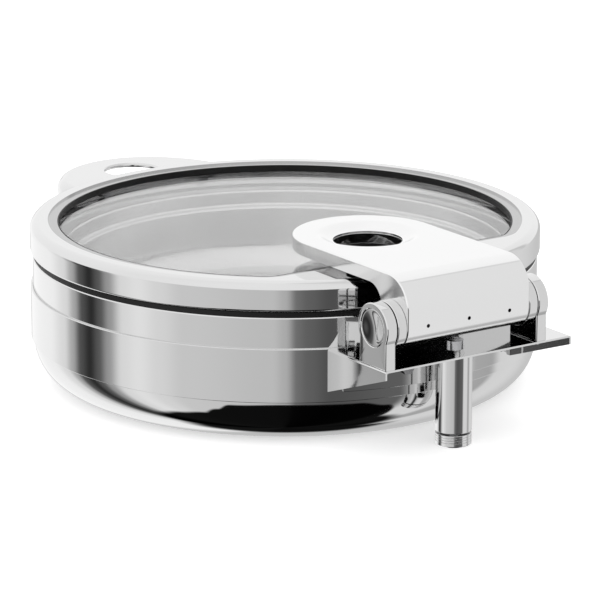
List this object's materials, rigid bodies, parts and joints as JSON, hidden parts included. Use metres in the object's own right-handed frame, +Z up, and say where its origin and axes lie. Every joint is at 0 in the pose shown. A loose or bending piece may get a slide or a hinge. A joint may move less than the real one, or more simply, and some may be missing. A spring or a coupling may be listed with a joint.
{
  "type": "roll top chafer",
  "caption": "Round polished steel food warmer: a bowl with nested pans, a glazed lid with a loop handle, and a soft-close hinge on a shelf propped by a levelling leg.",
  "frame": {"origin": "centre of the bowl's resting face, on the bowl's axis", "axes": "+Z up along the bowl's axis, +Y towards the hinge, +X to the right of someone facing the handle side from behind the hinge; the lid handle points to -Y"},
  "size_m": [0.41, 0.5411, 0.1465],
  "materials": {
    "polished_stainless": "mirror polished",
    "hood_stainless": "fine satin",
    "pan_stainless": "bright drawn",
    "fastener_steel": "plain",
    "machined_steel": "machined",
    "blackened_steel": "black oxide",
    "induction_steel": "satin",
    "silicone": "moulded",
    "foot_rubber": "moulded",
    "tempered_glass": "polished",
    "bronze": "sintered",
    "damper_plastic": "moulded"
  },
  "bodies": {
    "base": {"outer_shell": "polished_stainless", "collar_band": "polished_stainless", "induction_base": "induction_steel", "water_pan": "pan_stainless", "pan_gasket": "silicone", "food_pan": "pan_stainless", "hinge_shelf": "polished_stainless", "backing_plate": "machined_steel", "shelf_bolts": "fastener_steel", "leg_tube": "polished_stainless", "leg_insert": "machined_steel", "leg_bush": "machined_steel", "leg_screw": "fastener_steel", "ear_left": "polished_stainless", "ear_right": "polished_stainless", "ear_screws": "fastener_steel", "hinge_shaft": "machined_steel", "end_cap_left": "polished_stainless", "end_cap_right": "polished_stainless", "thrust_washers": "damper_plastic", "damper_rotors": "damper_plastic"},
    "lid": {"lid_frame": "polished_stainless", "inner_ring": "pan_stainless", "ring_edging": "silicone", "lid_glass": "tempered_glass", "glass_seal": "silicone", "lid_seal": "silicone", "segment_block": "machined_steel", "hinge_arm": "blackened_steel", "arm_screws": "fastener_steel", "hinge_barrel": "blackened_steel", "barrel_bushes": "bronze", "collar_left": "polished_stainless", "collar_right": "polished_stainless", "damper_housings": "damper_plastic", "hinge_hood": "hood_stainless", "hood_screws": "blackened_steel", "dish_sleeve": "polished_stainless", "sleeve_pad": "silicone", "lid_handle": "polished_stainless", "handle_screws": "fastener_steel"},
    "foot": {"levelling_foot": "polished_stainless", "foot_pad": "foot_rubber"}
  },
  "joints": [
    {"name": "lid_hinge", "type": "hinge", "parent": "base", "child": "lid", "pos_m": [0.012, 0.243, 0.109], "axis": [-1, 0, 0], "range_deg": [0, 90]},
    {"name": "foot_level", "type": "slide", "parent": "base", "child": "foot", "axis": [0, 0, 1], "range_m": [-0.008, 0.001]}
  ]
}
